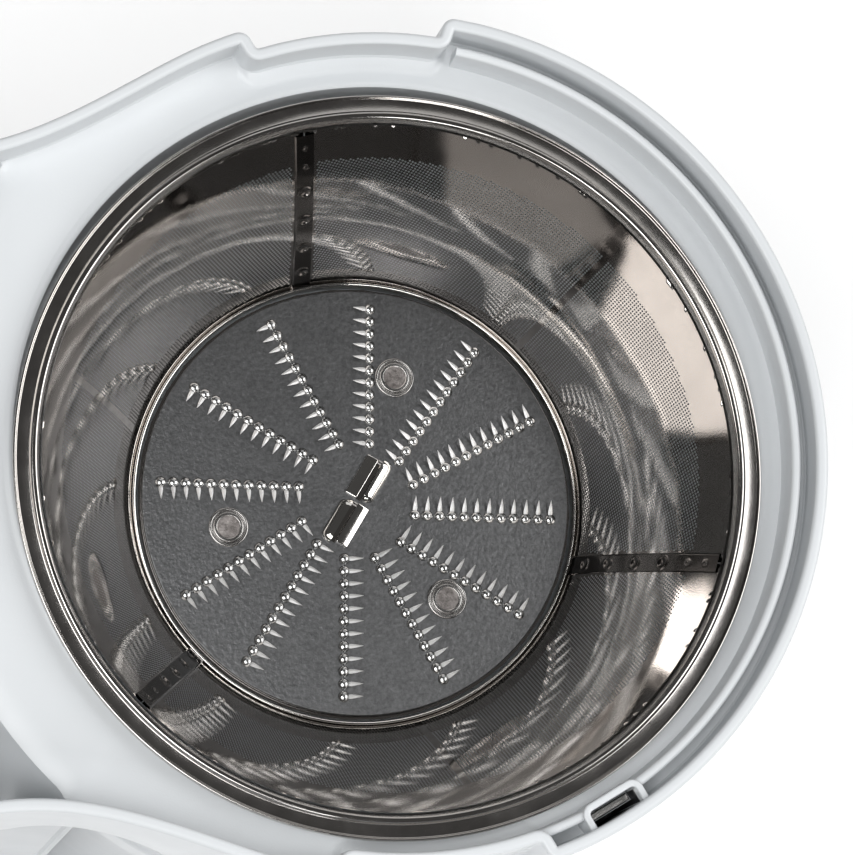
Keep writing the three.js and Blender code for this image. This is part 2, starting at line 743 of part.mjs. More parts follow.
for (const [name, side] of [['back', 1], ['front', -1]]) {
  add(bowlFrame, `clamp_pin_${name}`, clampPin(side), 'steel');
  const lever = add(bowlFrame, `lid_clamp_${name}`, clamp(), 'grey');
  lever.position.set(0, side * CLAMP_Y, CLAMP_Z);
  lever.rotation.set(Math.PI, 0, side > 0 ? 0 : Math.PI); // hanging open
}

add(spinFrame, 'motor_stator', motorStator(), 'iron');
add(spinFrame, 'field_winding', fieldWinding(), 'copper');
add(spinFrame, 'bracket_lower', bracket(50, 43, 54), 'iron');
add(spinFrame, 'bracket_upper', bracket(125, 123.3, 131), 'iron');
add(spinFrame, 'bearing_lower', ring(4.3, 11, 43.6, 50.6, 20), 'steel');
add(spinFrame, 'bearing_upper', ring(4.3, 11, 123.6, 130.6, 20), 'steel');
add(spinFrame, 'mount_ring_lower', ring(31, 39, 42.8, 49.7, 24), 'rubber');
add(spinFrame, 'mount_ring_upper', ring(28, 34, 128.7, 136.7, 24), 'rubber');
add(spinFrame, 'motor_bolt_1', motorBolt(45), 'steel');
add(spinFrame, 'motor_bolt_2', motorBolt(225), 'steel');
add(spinFrame, 'brush_holder_1', brushHolder(90), 'black');
add(spinFrame, 'brush_holder_2', brushHolder(270), 'black');
add(spinFrame, 'shaft_seal', ring(4.3, 8.7, TOWER_TOP - 2.2, TOWER_TOP + 2.4, 24), 'rubber');
add(spinFrame, 'motor_shaft', motorShaft(), 'steel');
add(spinFrame, 'rotor_core', ring(4.3, 23.4, 70, 108, 24), 'iron');
add(spinFrame, 'commutator', ring(4.3, 11, 56, 67, 24), 'copper');
add(spinFrame, 'cooling_fan', coolingFan(), 'black');
add(spinFrame, 'drive_coupling', driveCoupling(), 'black');

add(spinFrame, 'basket_rim_ring', basketRimRing(), 'steel');
for (let i = 0; i < 3; i++) {
  add(spinFrame, `mesh_panel_${i + 1}`, meshPanel(i), 'steel');
}
add(spinFrame, 'basket_lower_ring', basketLowerRing(), 'steel');
add(spinFrame, 'basket_base', basketBase(), 'steel');
add(spinFrame, 'basket_hub', basketHub(), 'black');
add(spinFrame, 'grater_disc', graterDisc(), 'brushed');
for (let i = 0; i < 3; i++) {
  add(spinFrame, `disc_rivet_${i + 1}`, discRivet(i), 'steel');
}

export default group;
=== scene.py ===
"""Looks of a centrifugal juicer with its lid off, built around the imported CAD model."""

import math

import bmesh
import bpy
import numpy as np
from mathutils import Matrix, Vector
from mathutils.geometry import tessellate_polygon


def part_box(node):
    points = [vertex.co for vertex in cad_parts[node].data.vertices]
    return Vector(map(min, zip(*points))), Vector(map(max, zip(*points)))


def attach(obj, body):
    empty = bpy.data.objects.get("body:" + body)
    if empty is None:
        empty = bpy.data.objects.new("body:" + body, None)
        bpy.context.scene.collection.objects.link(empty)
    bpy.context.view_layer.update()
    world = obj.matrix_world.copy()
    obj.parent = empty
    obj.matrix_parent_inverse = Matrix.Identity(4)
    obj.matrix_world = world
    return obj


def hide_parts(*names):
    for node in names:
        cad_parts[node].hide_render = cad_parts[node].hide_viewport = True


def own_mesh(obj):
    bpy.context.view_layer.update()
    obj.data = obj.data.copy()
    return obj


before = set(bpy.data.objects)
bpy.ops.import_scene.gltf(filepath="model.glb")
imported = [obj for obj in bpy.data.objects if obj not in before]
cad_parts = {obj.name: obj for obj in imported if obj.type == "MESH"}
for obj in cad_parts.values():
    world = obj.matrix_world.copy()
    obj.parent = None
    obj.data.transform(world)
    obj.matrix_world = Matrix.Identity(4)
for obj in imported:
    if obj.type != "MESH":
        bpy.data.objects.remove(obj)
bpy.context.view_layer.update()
MM = 0.001
TAU = 2 * math.pi


def middle(node):
    lo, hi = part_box(node)
    return (lo + hi) / 2


# ---- places taken from the CAD model; shapes below are in mm from these axes ----
SPIN = Vector((middle("basket_rim_ring").x, middle("basket_rim_ring").y, 0))
BOWL = Vector((SPIN.x, middle("juice_collector").y, 0))
RIM_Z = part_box("basket_rim_ring")[1].z / MM
WALL_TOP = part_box("juice_collector")[1].z / MM
DISC_Z = RIM_Z - 43.9
DECK_Z = RIM_Z - 3.5
SKIRT_Z = RIM_Z - 39
CHUTE_SKIRT_Z = RIM_Z - 27
BOWL_FLOOR_Z = RIM_Z - 71.5
WALL_R, WALL_T = 89, 2.6
NECK_DEG = 113  # where the chute's neck leaves the round wall
NOTCH_R = 84.5
NOTCH_DEGS = 76.5, 103.5
BOWL_T = 2.4
CHUTE_R, CHUTE_CX = 66, -112
LIP_R, FOLD_R = 75.4, 95
POCKET_DEG, POCKET_R, ROD_R = -65.2, 85.3, 80.6
CLAMP_Y = middle("clamp_pin_back").y / MM
CLAMP_Z = middle("clamp_pin_back").z / MM


# ---- paths and meshes ----
def rad(deg):
    return math.radians(deg)


def fillet(points, radii, closed=True, step=15):
    """Rounds a flat path's corners. radii is one number, or one for each point."""
    if not hasattr(radii, "__len__"):
        radii = [radii] * len(points)
    out = []
    count = len(points)
    for i, (point, r) in enumerate(zip(points, radii)):
        p = Vector(point)
        if r <= 0 or (not closed and i in (0, count - 1)):
            out.append(tuple(p))
            continue
        a = Vector(points[i - 1]) - p
        b = Vector(points[(i + 1) % count]) - p
        half = a.angle(b) / 2
        if half > rad(89):
            out.append(tuple(p))
            continue
        back = min(r / math.tan(half), a.length * 0.49, b.length * 0.49)
        centre = p + (a.normalized() + b.normalized()).normalized() * back / math.cos(half)
        arm = p + a.normalized() * back - centre
        turn = math.pi - 2 * half
        if arm.cross(p + b.normalized() * back - centre) < 0:
            turn = -turn
        steps = max(2, math.ceil(abs(math.degrees(turn)) / step))
        for k in range(steps + 1):
            t = turn * k / steps
            c, s = math.cos(t), math.sin(t)
            out.append((centre.x + arm.x * c - arm.y * s, centre.y + arm.x * s + arm.y * c))
    return out


def make(name, verts, faces, origin=BOWL, smooth=35, flip=None):
    """A mesh object from points in mm about an axis."""
    mesh = bpy.data.meshes.new(name)
    verts = np.asarray(verts, float) * MM + np.array(origin)
    mesh.from_pydata(verts.tolist(), [], faces)
    mesh.validate()
    if flip is None:
        bm = bmesh.new()
        bm.from_mesh(mesh)
        bmesh.ops.remove_doubles(bm, verts=bm.verts, dist=1e-6)
        bmesh.ops.recalc_face_normals(bm, faces=bm.faces)
        bm.to_mesh(mesh)
        bm.free()
    elif flip:
        mesh.flip_normals()
    mesh.polygons.foreach_set("use_smooth", [True] * len(mesh.polygons))
    if smooth:
        mesh.set_sharp_from_angle(angle=rad(smooth))
    mesh.update()
    piece = bpy.data.objects.new(name, mesh)
    bpy.context.scene.collection.objects.link(piece)
    return piece


def loft(rings, closed_path=False, caps=False):
    """Points and faces of a skin over closed rings that all have the same number of points."""
    rings = [list(r) for r in rings]
    n, m = len(rings), len(rings[0])
    verts = [p for ring in rings for p in ring]
    faces = []
    for i in range(n if closed_path else n - 1):
        a, b = i * m, ((i + 1) % n) * m
        for j in range(m):
            k = (j + 1) % m
            faces.append((a + j, a + k, b + k, b + j))
    if caps:
        for start, turned in ((0, True), ((n - 1) * m, False)):
            loop = [Vector(p) for p in verts[start:start + m]]
            for triple in tessellate_polygon([loop]):
                faces.append(tuple(start + i for i in (reversed(triple) if turned else triple)))
    return verts, faces


def joined(*parts):
    verts, faces = [], []
    for v, f in parts:
        base = len(verts)
        verts += [tuple(p) for p in v]
        faces += [tuple(i + base for i in face) for face in f]
    return verts, faces


def lathe(profile, segments=240, a0=0, a1=360):
    """A closed profile of (r, z) turned about the Z axis, all round or from a0 to a1 degrees."""
    whole = a1 - a0 >= 360
    steps = segments if whole else segments + 1
    rings = []
    for i in range(steps):
        a = rad(a0 + (a1 - a0) * i / segments)
        rings.append([(r * math.cos(a), r * math.sin(a), z) for r, z in profile])
    return loft(rings, closed_path=whole, caps=not whole)


def moved(part, dx=0, dy=0, dz=0, turn=0, lean=None):
    """A part turned about Z by degrees, after lean, a function of a point, then moved."""
    verts, faces = part
    c, s = math.cos(rad(turn)), math.sin(rad(turn))
    out = []
    for p in verts:
        x, y, z = lean(p) if lean else p
        out.append((x * c - y * s + dx, x * s + y * c + dy, z + dz))
    return out, faces


def normals_of(path):
    """Unit vectors to the left of each point of a closed flat path."""
    p = np.array(path, float)
    d = np.roll(p, -1, 0) - np.roll(p, 1, 0)
    d /= np.linalg.norm(d, axis=1)[:, None]
    return np.stack([-d[:, 1], d[:, 0]], 1)


def slab(outline, z0, z1, edge=0.6, steps=4):
    """A flat anticlockwise outline pushed up from z0 to z1, with rounded edges."""
    n = normals_of(outline)
    p = np.array(outline, float)
    rings = []
    for z, sign in ((z0, 1), (z1, -1)):
        turns = range(steps + 1) if sign > 0 else range(steps, -1, -1)
        for k in turns:
            a = math.pi / 2 * k / steps
            inset = edge * (1 - math.sin(a))
            height = z + sign * edge * (1 - math.cos(a))
            q = p + n * inset
            rings.append([(x, y, height) for x, y in q])
    return loft(rings, caps=True)


def rectangle(x0, x1, y0, y1, r=1.0):
    return fillet([(x0, y0), (x1, y0), (x1, y1), (x0, y1)], r)


def block(x0, x1, y0, y1, z0, z1, r=1.0, edge=0.5):
    return slab(rectangle(x0, x1, y0, y1, r), z0, z1, edge, 3)


def cut_by(piece, part, origin=BOWL):
    """Takes a part's volume away from a piece and keeps the result as its mesh."""
    tool = make("cutting_tool", *part, origin=origin, smooth=0)
    cutter = piece.modifiers.new("cut", "BOOLEAN")
    cutter.operation = "DIFFERENCE"
    cutter.solver = "EXACT"
    cutter.object = tool
    bpy.context.view_layer.update()
    ready = piece.evaluated_get(bpy.context.evaluated_depsgraph_get())
    mesh = bpy.data.meshes.new_from_object(ready)
    piece.modifiers.clear()
    piece.data = mesh
    mesh.polygons.foreach_set("use_smooth", [True] * len(mesh.polygons))
    mesh.set_sharp_from_angle(angle=rad(35))
    bpy.data.objects.remove(tool)
    return piece


# ---- materials ----
class Nodes:
    """Builds one node material step by step."""

    def __init__(self, name):
        self.material = bpy.data.materials.new(name)
        self.material.use_nodes = True
        self.tree = self.material.node_tree
        self.shader = self.tree.nodes["Principled BSDF"]
        self.place = self.tree.nodes.new("ShaderNodeTexCoord").outputs["Object"]

    def link(self, a, b):
        self.tree.links.new(a, b)

    def noise(self, scale, detail=3, rough=0.5, stretch=None, distortion=0):
        node = self.tree.nodes.new("ShaderNodeTexNoise")
        node.inputs["Scale"].default_value = scale
        node.inputs["Detail"].default_value = detail
        node.inputs["Roughness"].default_value = rough
        node.inputs["Distortion"].default_value = distortion
        place = self.place
        if stretch:
            mapping = self.tree.nodes.new("ShaderNodeMapping")
            mapping.inputs["Scale"].default_value = stretch
            self.link(place, mapping.inputs["Vector"])
            place = mapping.outputs["Vector"]
        self.link(place, node.inputs["Vector"])
        return node.outputs["Fac"]

    def ramp(self, source, stops):
        node = self.tree.nodes.new("ShaderNodeValToRGB")
        ramp = node.color_ramp
        while len(ramp.elements) < len(stops):
            ramp.elements.new(0.5)
        for element, (at, colour) in zip(ramp.elements, stops):
            element.position = at
            element.color = (*colour, 1) if hasattr(colour, "__len__") else (colour, colour, colour, 1)
        self.link(source, node.inputs["Fac"])
        return node.outputs["Color"]

    def span(self, source, low, high, from_low=0.3, from_high=0.7):
        node = self.tree.nodes.new("ShaderNodeMapRange")
        node.inputs["From Min"].default_value = from_low
        node.inputs["From Max"].default_value = from_high
        node.inputs["To Min"].default_value = low
        node.inputs["To Max"].default_value = high
        self.link(source, node.inputs["Value"])
        return node.outputs["Result"]

    def bump(self, height, strength, distance, below=None):
        node = self.tree.nodes.new("ShaderNodeBump")
        node.inputs["Strength"].default_value = strength
        node.inputs["Distance"].default_value = distance
        self.link(height, node.inputs["Height"])
        if below:
            self.link(below, node.inputs["Normal"])
        return node.outputs["Normal"]

    def set(self, **values):
        for key, value in values.items():
            socket = self.shader.inputs[key.replace("_", " ")]
            if hasattr(value, "is_output"):
                self.link(value, socket)
            else:
                socket.default_value = value
        return self


def plastic(name, colour, rough=0.36, grain=0.10, vary=0.035):
    """Moulded plastic: a fine spark-eroded grain, faint flow marks and uneven polish."""
    m = Nodes(name)
    low = tuple(c * (1 - vary) for c in colour)
    high = tuple(min(1, c * (1 + vary)) for c in colour)
    m.set(Base_Color=m.ramp(m.noise(14, 4), [(0.3, low), (0.7, high)]))
    m.set(Roughness=m.span(m.noise(60, 5, 0.6), rough - 0.05, rough + 0.06))
    grained = m.bump(m.noise(1900, 2), grain, 0.0002)
    m.set(Normal=m.bump(m.noise(22, 2), 0.10, 0.0006, grained))
    m.set(Specular_IOR_Level=0.45)
    return m.material


def steel(name, colour, rough, wave=0.0, wave_scale=90, grain=0.05, grain_scale=2600, vary=0.08, spread=0.03,
          tone_scale=45):
    """Sheet steel: slow waves in the sheet, fine grain, rubbed patches and a colour that drifts a little."""
    m = Nodes(name)
    low = tuple(c * (1 - vary) for c in colour)
    high = tuple(min(1, c * (1 + vary)) for c in colour)
    m.set(Metallic=1.0)
    m.set(Base_Color=m.ramp(m.noise(tone_scale, 5, 0.6), [(0.32, low), (0.68, high)]))
    m.set(Roughness=m.span(m.noise(130, 5, 0.65), max(0.02, rough - spread), rough + spread))
    fine = m.bump(m.noise(grain_scale, 3, 0.6), grain, 0.0001)
    if wave:
        fine = m.bump(m.noise(wave_scale, 1, 0.4), wave, 0.0012, fine)
    m.set(Normal=fine)
    return m.material


WHITE = plastic("white_moulded", (0.565, 0.585, 0.60), 0.36)
GREY = plastic("grey_moulded", (0.30, 0.315, 0.335), 0.42, 0.22)
BLACK = plastic("black_moulded", (0.016, 0.016, 0.018), 0.45, 0.2, 0.2)
PALE = plastic("container_moulded", (0.47, 0.49, 0.505), 0.36)
RUBBER = plastic("black_rubber", (0.022, 0.022, 0.024), 0.8, 0.5, 0.15)
SIEVE = steel("sieve_steel", (0.52, 0.49, 0.465), 0.045, wave=0.07, wave_scale=70, grain=0.03, spread=0.02)
SEAM = steel("seam_steel", (0.13, 0.122, 0.116), 0.12, grain=0.1, vary=0.2)
RIM = steel("rim_steel", (0.47, 0.45, 0.43), 0.14, wave=0.04, grain=0.05)
CHROME = steel("ring_steel", (0.74, 0.72, 0.69), 0.09, grain=0.03)
DISC = steel("disc_steel", (0.125, 0.126, 0.128), 0.38, grain=1.0, grain_scale=1150, vary=0.22, spread=0.02,
             tone_scale=1300)
TEETH = steel("tooth_steel", (0.40, 0.40, 0.395), 0.2, grain=0.15, grain_scale=2200)
BURR = steel("burr_steel", (0.93, 0.93, 0.925), 0.55, grain=0.2, grain_scale=2200)
RIVET = steel("rivet_steel", (0.36, 0.35, 0.34), 0.22, grain=0.2)
FASTENER = steel("fastener_steel", (0.55, 0.54, 0.52), 0.26, grain=0.2)
IRON = steel("motor_iron", (0.20, 0.205, 0.21), 0.5, grain=0.4, grain_scale=900, vary=0.18)
COPPER = steel("motor_copper", (0.62, 0.30, 0.14), 0.38, grain=0.6, grain_scale=700, vary=0.15)


def rivet_core_metal():
    """The rough brownish middle of a spun rivet."""
    m = Nodes("rivet_core")
    m.set(Metallic=1.0)
    m.set(Base_Color=m.ramp(m.noise(420, 5, 0.7), [(0.35, (0.10, 0.09, 0.085)), (0.65, (0.27, 0.25, 0.24))]))
    m.set(Roughness=m.span(m.noise(700, 4), 0.3, 0.55))
    m.set(Normal=m.bump(m.noise(900, 5, 0.7), 0.7, 0.0005))
    return m.material


RIVET_CORE = rivet_core_metal()


def dress(piece, body, slot, *materials, stands_for=()):
    for material in materials:
        piece.data.materials.append(material)
    if stands_for:
        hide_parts(*stands_for)
    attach(piece, body)
    return piece


# ---- camera: on the photograph's line of sight, high over the basket ----
RIM_CENTRE = Vector((SPIN.x, SPIN.y, RIM_Z * MM))
target = RIM_CENTRE + Vector((0.00771, 0.00621, 0))
camera = bpy.data.objects.new("camera", bpy.data.cameras.new("camera"))
bpy.context.scene.collection.objects.link(camera)
camera.location = RIM_CENTRE + Vector((-0.15609, -0.13836, 0.77208))
camera.data.sensor_width = 36
camera.data.lens = 168.42
camera.data.clip_start, camera.data.clip_end = 0.05, 20
ahead = (target - camera.location).normalized()
right = ahead.cross(Vector((0.12187, 0.99255, 0))).normalized()
above = right.cross(ahead)
camera.rotation_mode = "QUATERNION"
camera.rotation_quaternion = Matrix((right, above, -ahead)).transposed().to_quaternion()
bpy.context.scene.camera = camera


# ---- juice collector ----
def flank(t):
    """A point of the neck, where the round bowl runs into the straight side of the chute."""
    a = rad(NECK_DEG)
    p0 = Vector((WALL_R * math.cos(a), WALL_R * math.sin(a)))
    p1 = p0 + 16.6 * Vector((-math.sin(a), math.cos(a)))
    p2, p3 = Vector((-66, CHUTE_R)), Vector((-84, CHUTE_R))
    s = 1 - t
    return s**3 * p0 + 3 * s * s * t * p1 + 3 * s * t * t * p2 + t**3 * p3


def outline_path(notched=True, step=1.5):
    """The collector's outer outline, anticlockwise, from the bowl's axis."""
    half = []
    corner = []

    def add(p, r=0.0):
        half.append(tuple(p))
        corner.append(r)

    a = 0.0
    low, high = NOTCH_DEGS
    while a < low - 3:
        add((WALL_R * math.cos(rad(a)), WALL_R * math.sin(rad(a))))
        a += step
    if notched:
        for deg, r, c in ((low, WALL_R, 2.9), (low + 0.6, NOTCH_R, 0.7)):
            add((r * math.cos(rad(deg)), r * math.sin(rad(deg))), c)
        for deg in np.arange(low + 3.5, high - 3, step):
            add((NOTCH_R * math.cos(rad(deg)), NOTCH_R * math.sin(rad(deg))))
        for deg, r, c in ((high - 0.6, NOTCH_R, 0.7), (high, WALL_R, 2.9)):
            add((r * math.cos(rad(deg)), r * math.sin(rad(deg))), c)
        a = high + 3
    while a < NECK_DEG:
        add((WALL_R * math.cos(rad(a)), WALL_R * math.sin(rad(a))))
        a += step
    for i in range(25):
        add(flank(i / 24))
    for x in np.arange(-87, CHUTE_CX, -3):
        add((x, CHUTE_R))
    for i in range(45):
        t = rad(90 + 90 * i / 44)
        add((CHUTE_CX + CHUTE_R * math.cos(t), CHUTE_R * math.sin(t)))
    points = half + [(x, -y) for x, y in reversed(half[1:-1])]
    return fillet(points, corner + corner[-2:0:-1], step=10)


def skirt_height(x):
    """Height of the outer wall's lower edge: high at the chute, arched at the neck."""
    base = CHUTE_SKIRT_Z if x < -70 else SKIRT_Z
    t = (x + 66) / 20
    return max(base, SKIRT_Z - 4 + 26 * math.sqrt(1 - t * t)) if abs(t) < 1 else base


def outer_wall():
    path = outline_path()
    normals = normals_of(path)
    rings = []
    for (x, y), (nx, ny) in zip(path, normals):
        low = skirt_height(x)
        section = fillet([(0, low), (0, WALL_TOP), (WALL_T, WALL_TOP), (WALL_T, low)], [0.5, 1.0, 0.9, 0.5])
        rings.append([(x + nx * d, y + ny * d, z) for d, z in section])
    return loft(rings, closed_path=True)


def wall_distance(deg, inner):
    """How far from the bowl's axis a closed path lies in one direction."""
    c, s = math.cos(rad(deg)), math.sin(rad(deg))
    along = inner @ np.array([c, s])
    across = inner @ np.array([-s, c])
    nxt_along, nxt_across = np.roll(along, -1), np.roll(across, -1)
    hit = (across * nxt_across <= 0) & (along > 0) & (across != nxt_across)
    t = across[hit] / (across[hit] - nxt_across[hit])
    return float(np.max(along[hit] + t * (nxt_along[hit] - along[hit])))


def deck_section(reach):
    """The flange's section, from the wall or the fold in to the lip, and back underneath."""
    z = DECK_Z
    wall = [(reach + 0.9, z + 2.6), (reach - 0.15, z + 1.9), (reach - 0.75, z + 0.7), (reach - 2.2, z + 0.15)]
    far = min(max(reach, FOLD_R), FOLD_R + 7)
    drop = (far - FOLD_R) / 7 * (z - CHUTE_SKIRT_Z)
    fold = [(far, z - drop), (FOLD_R + 1.4, z - 3.6), (FOLD_R + 0.3, z - 0.9), (FOLD_R - 1.6, z - 0.05)]
    t = min(max((reach - FOLD_R) / 5, 0), 1)
    t = t * t * (3 - 2 * t)
    edge = [(w[0] * (1 - t) + f[0] * t, w[1] * (1 - t) + f[1] * t) for w, f in zip(wall, fold)]
    start = edge[-1][0]
    sag = 0.45 * (1 - t)
    flat = [(start + (77.6 - start) * u, z - sag * math.sin(math.pi * u)) for u in (0.25, 0.5, 0.75, 1)]
    lip = [(77.0, z + 0.12), (76.5, z + 0.34), (75.9, z + 0.34), (75.45, z + 0.05)]
    lip += [(LIP_R, z - 0.6), (LIP_R, z - 2.2)]
    under = [(LIP_R + 1.5, z - 2.5), (start, z - 2.6), (edge[2][0] - 2.2 * t, edge[2][1] - 2.6 - 0.4 * t)]
    low = [(edge[0][0] - 2.2 * t, edge[0][1] - (5 - 4.6 * t))]
    return edge + flat + lip + under + low


def deck():
    path = np.array(outline_path(notched=True))
    inner = path + normals_of(path) * (WALL_T - 0.4)
    rings = []
    for deg in np.arange(0, 360, 0.75):
        reach = wall_distance(deg, inner)
        a = rad(deg)
        rings.append([(r * math.cos(a), r * math.sin(a), z) for r, z in deck_section(reach)])
    return loft(rings, closed_path=True)


def lid_rib():
    """The upright rib that makes the lid's groove on the side away from the chute."""
    top = RIM_Z + 3.2
    section = fillet([(81.6, DECK_Z - 1), (84, DECK_Z - 1), (84, top), (82.1, top)], [0, 0, 0.9, 0.9])
    upper = lathe(section, 190, POCKET_DEG + 4.4, 74.2)
    lower = lathe(section, 12, -77, POCKET_DEG - 4.4)
    return joined(upper, lower)


def guide_frame():
    """The collar round the interlock pocket, open to the outer wall."""
    half, inner_r, outer_r, thick = 6.9, 81.3, 87.6, 1.5
    out = [(outer_r, -half), (inner_r, -half), (inner_r, half), (outer_r, half)]
    path = fillet(out, [0, 2.4, 2.4, 0], closed=False)
    ring = [(outer_r, half - thick), (inner_r + thick, half - thick), (inner_r + thick, -half + thick)]
    back = fillet(ring + [(outer_r, -half + thick)], [0, 0.9, 0.9, 0], closed=False)
    outline = path + back
    outline.reverse()
    return moved(slab(outline, DECK_Z - 1.5, RIM_Z + 3.9, 0.45, 4), turn=POCKET_DEG)


def rod_channel():
    """The square channel behind the pocket that the interlock's bar runs down."""
    z0, z1 = BOWL_FLOOR_Z, DECK_Z - 0.8
    out = rectangle(LIP_R + 1.8, ROD_R + 4.5, -6.7, 6.7, 1.4)
    hole = rectangle(LIP_R + 3.2, ROD_R + 2.2, -4.9, 4.9, 0.4)
    count = max(len(out), len(hole))
    out = [out[i * len(out) // count] for i in range(count)]
    hole = [hole[i * len(hole) // count] for i in range(count)]
    rings = [[(x, y, z) for x, y in loop] for loop, z in ((out, z0), (out, z1), (hole, z1), (hole, z0))]
    return moved(loft(rings, closed_path=True), turn=POCKET_DEG)


def pocket_shade_liner():
    """Black sheets lining the sides of the interlock's shaft: painted shade that keeps the deep, narrow
    pocket dark.
    """
    x0, x1, y = 82.85, 86.3, 5.35
    outer = [(x0 - 0.4, -y - 0.4), (x1 + 0.4, -y - 0.4), (x1 + 0.4, y + 0.4), (x0 - 0.4, y + 0.4)]
    inner = [(x0, -y), (x1, -y), (x1, y), (x0, y)]
    z0, z1 = DECK_Z - 20, RIM_Z + 1.2
    steps = ((outer, z0), (outer, z1), (inner, z1), (inner, z0 + 1))
    rings = [[(x, y, z) for x, y in loop] for loop, z in steps]
    return moved(loft(rings, caps=True), turn=POCKET_DEG)


def bowl():
    """The wall and floor that catch the juice, with a chimney round the drive."""
    wall = fillet([
        (22, BOWL_FLOOR_Z), (LIP_R + BOWL_T, BOWL_FLOOR_Z), (LIP_R + BOWL_T, DECK_Z - 1.5),
        (LIP_R, DECK_Z - 1.5), (LIP_R, BOWL_FLOOR_Z + BOWL_T), (22, BOWL_FLOOR_Z + BOWL_T),
    ], [0, 3.4, 0, 0, 2.4, 0])
    foot = rectangle(66, 68.4, BOWL_FLOOR_Z - 5.2, BOWL_FLOOR_Z + 1, 0.4)
    return joined(lathe(wall), lathe(foot))


def chimney():
    top = RIM_Z - 50
    tube = fillet([(20, BOWL_FLOOR_Z), (22.4, BOWL_FLOOR_Z), (22, top), (20, top)], 0.7)
    return lathe(tube, 96)


def spout():
    """A flat duct under the bowl's rim that turns down into a nose."""
    duct = block(76.5, 95, -9.1, 9.1, 159.5, 170.7, 2.2, 1.2)
    nose = np.array(fillet([(88.7, -9.4), (100, -9.4), (100, 9.4), (88.7, 9.4)], [1, 3, 3, 1]))
    inward = normals_of(nose)
    steps = [(1.6, 171), (0.7, 170.8), (0.15, 170.1), (0, 169), (0, 146.8)]
    steps += [(0.3, 146.1), (0.9, 146), (1.8, 146.2), (2.2, 147), (2.2, 160)]
    rings = [[(x, y, z) for x, y in nose + inward * d] for d, z in steps]
    return joined(duct, loft(rings, caps=True))


def build_collector():
    moulding = joined(outer_wall(), lid_rib(), guide_frame(), rod_channel(), bowl())
    piece = make("juice_collector_skin", *moulding)
    one_moulding = ["juice_collector", "juice_bowl", "bowl_floor"]
    dress(piece, "collector", "white_plastic", WHITE, stands_for=one_moulding)
    flange = make("juice_collector_flange", *deck())
    shaft = block(82.9, 86.5, -5.4, 5.4, DECK_Z - 30, DECK_Z + 12, 0.5, 0.1)
    dress(cut_by(flange, moved(shaft, turn=POCKET_DEG)), "collector", "white_plastic", WHITE)
    dress(make("drive_chimney", *chimney(), origin=SPIN), "collector", "white_plastic", WHITE)
    nose = make("juice_spout_skin", *spout())
    dress(nose, "collector", "white_plastic", WHITE, stands_for=["juice_spout"])
    # painted shade: a black lining inside the interlock's shaft keeps the pocket dark
    dress(make("interlock_shaft_painted_shade", *pocket_shade_liner()), "collector", "black_plastic", BLACK)


def build_rod():
    """The interlock's flat steel bar, whose top the lid pushes down."""
    head = block(POCKET_R - 1.95, POCKET_R - 0.45, -4.5, 4.5, 217, RIM_Z - 1.4, 0.3, 0.25)
    blade = block(ROD_R - 1.1, ROD_R + 1.1, -4.2, 4.2, 159.6, 221, 0.4, 0.3)
    bridge = block(ROD_R - 1, POCKET_R - 0.6, -4.2, 4.2, 217, 221, 0.4, 0.3)
    piece = make("interlock_bar", *moved(joined(head, blade, bridge), turn=POCKET_DEG))
    dress(piece, "rod", "fastener_steel", FASTENER, stands_for=["interlock_rod"])


# ---- sieve basket ----
CONE_R0, CONE_R1 = 47.0, 70.2
CONE_Z0, CONE_Z1 = DISC_Z - 1.6, RIM_Z - 2.2
CONE_L = math.hypot(CONE_R1 - CONE_R0, CONE_Z1 - CONE_Z0)
CONE_SIN, CONE_COS = (CONE_R1 - CONE_R0) / CONE_L, (CONE_Z1 - CONE_Z0) / CONE_L
FLAT_R0 = CONE_R0 / CONE_SIN  # distance from the cone's tip to its foot, along the sheet
SEAM_DEG = 98
FLARE = 1.25  # how far the wall bows in towards the food at half its height


def on_cone(reach, turn, lift=0.0):
    """A point of the sieve from its place on the flat sheet: distance from the tip, and angle in radians."""
    t = (reach - FLAT_R0) / CONE_L
    r = reach * CONE_SIN - lift * CONE_COS - FLARE * 4 * t * (1 - t)
    z = CONE_Z0 + (reach - FLAT_R0) * CONE_COS + lift * CONE_SIN
    a = turn / CONE_SIN
    return np.stack([r * np.cos(a), r * np.sin(a), z], -1)


